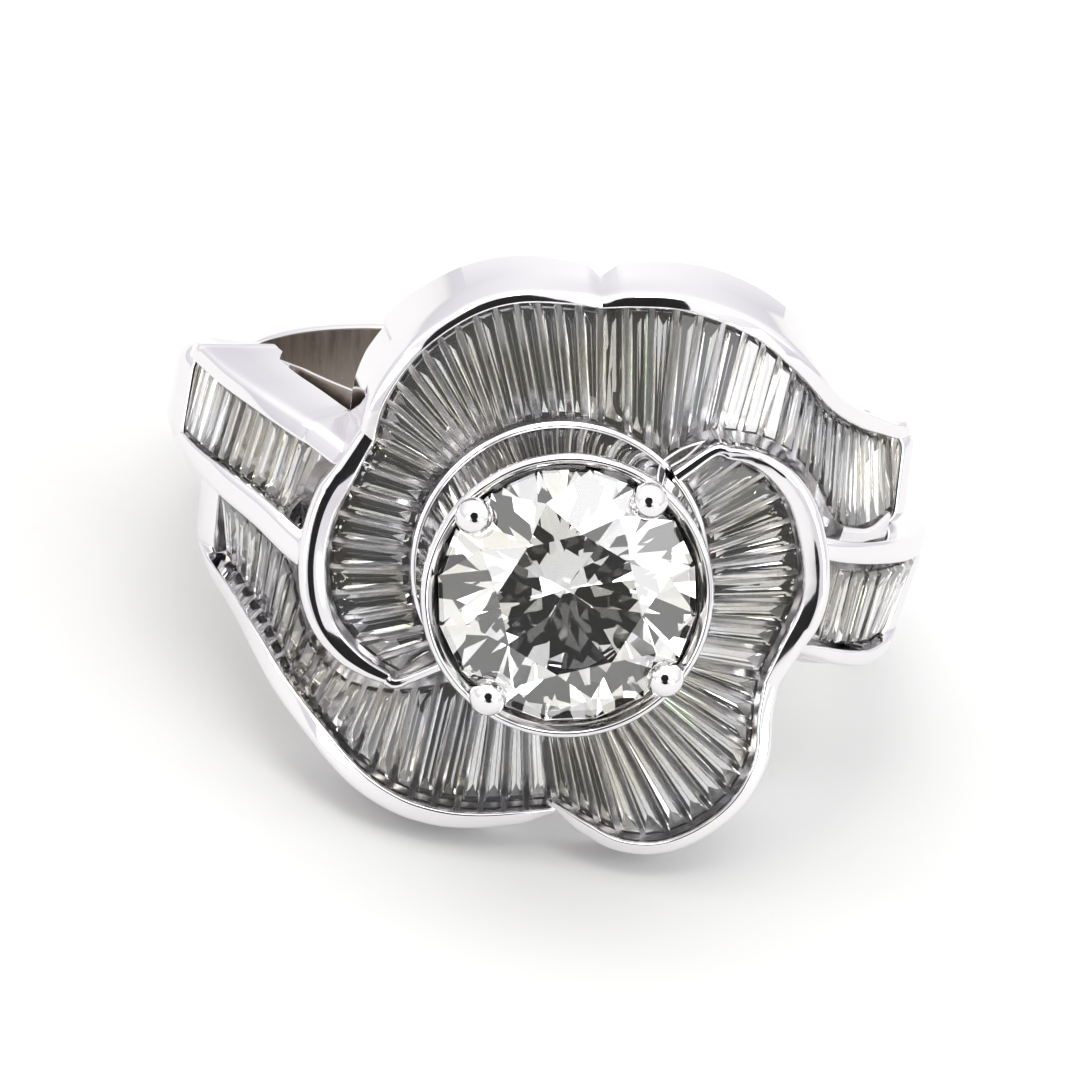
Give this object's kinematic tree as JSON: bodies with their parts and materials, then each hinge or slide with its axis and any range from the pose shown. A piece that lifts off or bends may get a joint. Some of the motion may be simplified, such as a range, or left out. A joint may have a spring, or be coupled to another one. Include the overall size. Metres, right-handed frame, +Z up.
{
  "type": "cluster ring",
  "caption": "Marguerite finger ring: a round stone in a high collar, petals of tapered baguettes between polished rails, and channel-set shoulders.",
  "frame": {"origin": "centre of the bounding box on the surface the ring lies on", "axes": "+Z up, +X across the finger, +Y from the flower to the back of the band; the flower faces -Y and leans up"},
  "size_m": [0.021, 0.0236, 0.0152],
  "materials": {
    "white_gold": "high polish, rhodium plated",
    "diamond": "faceted and polished"
  },
  "bodies": {
    "root": {"ring_mount": "white_gold", "centre_stone": "diamond", "left_inner_baguettes": "diamond", "upper_left_baguettes": "diamond", "upper_right_baguettes": "diamond", "right_inner_baguettes": "diamond", "lower_right_baguettes": "diamond", "lower_left_baguettes": "diamond", "left_shoulder_baguettes": "diamond", "right_shoulder_baguettes": "diamond"}
  },
  "joints": []
}
